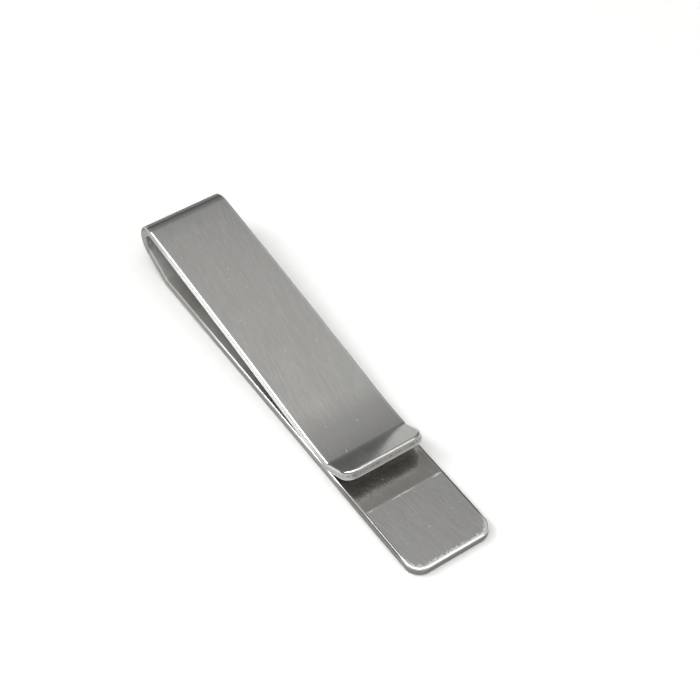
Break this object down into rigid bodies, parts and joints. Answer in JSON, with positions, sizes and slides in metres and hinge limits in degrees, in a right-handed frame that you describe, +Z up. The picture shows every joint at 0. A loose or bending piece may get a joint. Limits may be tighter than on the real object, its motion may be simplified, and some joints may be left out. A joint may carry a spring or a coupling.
{
  "type": "money clip",
  "caption": "Slim bent-strip money clip: long flat leaf, tight spring fold, sloping upper leaf that grips at a crease, and a flared lip.",
  "frame": {"origin": "under the middle of the clip, on the face of the lower leaf that it lies on", "axes": "+X along the strip from the fold to the free end of the lower leaf, +Y across the strip, +Z up out of the surface that the clip lies on"},
  "size_m": [0.054, 0.01, 0.0066],
  "materials": {
    "satin_steel": "satin, brushed along the strip"
  },
  "bodies": {
    "lower_strip": {"lower_leaf": "satin_steel", "heel_bend": "satin_steel", "heel_ramp": "satin_steel", "fold_lower": "satin_steel"},
    "rear_span": {"fold_upper": "satin_steel", "leaf_rear": "satin_steel"},
    "middle_span": {"leaf_middle": "satin_steel"},
    "front_span": {"leaf_front": "satin_steel", "leaf_run_in": "satin_steel", "lip_bend": "satin_steel", "lip": "satin_steel"}
  },
  "joints": [
    {"name": "fold_flex", "type": "hinge", "parent": "lower_strip", "child": "rear_span", "pos_m": [-0.02689, 0, 0.00483], "axis": [0, -1, 0], "range_deg": [0, 4], "stiffness_Nm_per_rad": 14.7},
    {"name": "leaf_rear_flex", "type": "hinge", "parent": "rear_span", "child": "middle_span", "pos_m": [-0.01453, 0, 0.00546], "axis": [0, -1, 0], "range_deg": [0, 2], "stiffness_Nm_per_rad": 21.9},
    {"name": "leaf_front_flex", "type": "hinge", "parent": "middle_span", "child": "front_span", "pos_m": [-0.00485, 0, 0.00419], "axis": [0, -1, 0], "range_deg": [0, 1.7], "stiffness_Nm_per_rad": 10.1}
  ]
}
